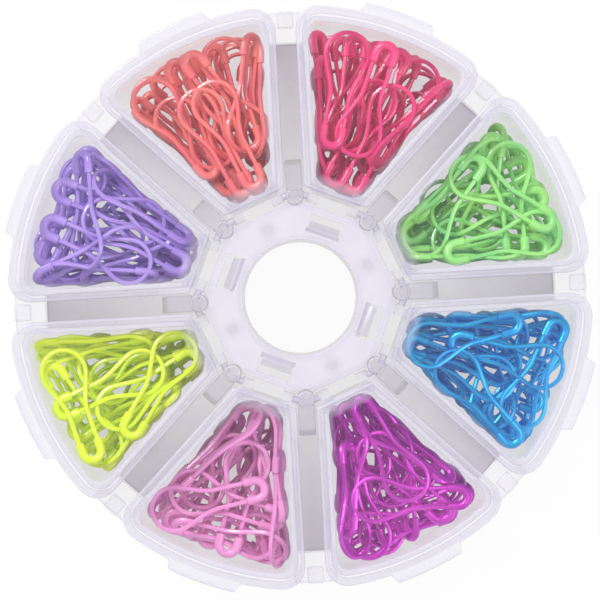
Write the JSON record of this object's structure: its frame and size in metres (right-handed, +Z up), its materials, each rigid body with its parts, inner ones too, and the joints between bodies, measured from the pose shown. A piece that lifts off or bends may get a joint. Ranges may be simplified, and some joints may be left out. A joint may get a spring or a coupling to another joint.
{
  "type": "stitch marker",
  "caption": "Bulb-pin stitch markers sorted by colour in a round clear case: wedge cups around a hub with a centre hole, each cup under its own hinged lid with a thumb tab.",
  "frame": {"origin": "centre of the case's underside, on the axis of the centre hole", "axes": "+Z up along the centre hole; the spokes between the cups lie along 0, 45, 90 and so on degrees from +X, and the green cup is centred at 22.5 degrees"},
  "size_m": [0.1044, 0.1044, 0.027],
  "materials": {
    "clear_plastic": "moulded clear plastic, slightly milky",
    "green_enamel": "glossy enamel on steel wire and sheet",
    "red_enamel": "glossy enamel on steel wire and sheet",
    "orange_enamel": "glossy enamel on steel wire and sheet",
    "purple_enamel": "glossy enamel on steel wire and sheet",
    "yellow_enamel": "glossy enamel on steel wire and sheet",
    "pink_enamel": "glossy enamel on steel wire and sheet",
    "magenta_enamel": "metallic lacquer on steel wire and sheet",
    "blue_enamel": "metallic lacquer on steel wire and sheet"
  },
  "bodies": {
    "case": {"base": "clear_plastic", "hub_cover": "clear_plastic", "wires_green": "green_enamel", "caps_green": "green_enamel", "wires_red": "red_enamel", "caps_red": "red_enamel", "wires_orange": "orange_enamel", "caps_orange": "orange_enamel", "wires_purple": "purple_enamel", "caps_purple": "purple_enamel", "wires_yellow": "yellow_enamel", "caps_yellow": "yellow_enamel", "wires_pink": "pink_enamel", "caps_pink": "pink_enamel", "wires_magenta": "magenta_enamel", "caps_magenta": "magenta_enamel", "wires_blue": "blue_enamel", "caps_blue": "blue_enamel"},
    "lid_green": {"lid_green": "clear_plastic"},
    "lid_red": {"lid_red": "clear_plastic"},
    "lid_orange": {"lid_orange": "clear_plastic"},
    "lid_purple": {"lid_purple": "clear_plastic"},
    "lid_yellow": {"lid_yellow": "clear_plastic"},
    "lid_pink": {"lid_pink": "clear_plastic"},
    "lid_magenta": {"lid_magenta": "clear_plastic"},
    "lid_blue": {"lid_blue": "clear_plastic"}
  },
  "joints": [
    {"name": "lid_green_hinge", "type": "hinge", "parent": "case", "child": "lid_green", "pos_m": [0.01626, 0.00674, 0.0254], "axis": [0.3827, -0.9239, 0], "range_deg": [0, 85]},
    {"name": "lid_red_hinge", "type": "hinge", "parent": "case", "child": "lid_red", "pos_m": [0.00674, 0.01626, 0.0254], "axis": [-0.9239, 0.3827, 0], "range_deg": [-85, 0]},
    {"name": "lid_orange_hinge", "type": "hinge", "parent": "case", "child": "lid_orange", "pos_m": [-0.00674, 0.01626, 0.0254], "axis": [0.9239, 0.3827, 0], "range_deg": [0, 85]},
    {"name": "lid_purple_hinge", "type": "hinge", "parent": "case", "child": "lid_purple", "pos_m": [-0.01626, 0.00674, 0.0254], "axis": [-0.3827, -0.9239, 0], "range_deg": [-85, 0]},
    {"name": "lid_yellow_hinge", "type": "hinge", "parent": "case", "child": "lid_yellow", "pos_m": [-0.01626, -0.00674, 0.0254], "axis": [-0.3827, 0.9239, 0], "range_deg": [0, 85]},
    {"name": "lid_pink_hinge", "type": "hinge", "parent": "case", "child": "lid_pink", "pos_m": [-0.00674, -0.01626, 0.0254], "axis": [0.9239, -0.3827, 0], "range_deg": [-85, 0]},
    {"name": "lid_magenta_hinge", "type": "hinge", "parent": "case", "child": "lid_magenta", "pos_m": [0.00674, -0.01626, 0.0254], "axis": [-0.9239, -0.3827, 0], "range_deg": [0, 85]},
    {"name": "lid_blue_hinge", "type": "hinge", "parent": "case", "child": "lid_blue", "pos_m": [0.01626, -0.00674, 0.0254], "axis": [0.3827, 0.9239, 0], "range_deg": [-85, 0]}
  ]
}
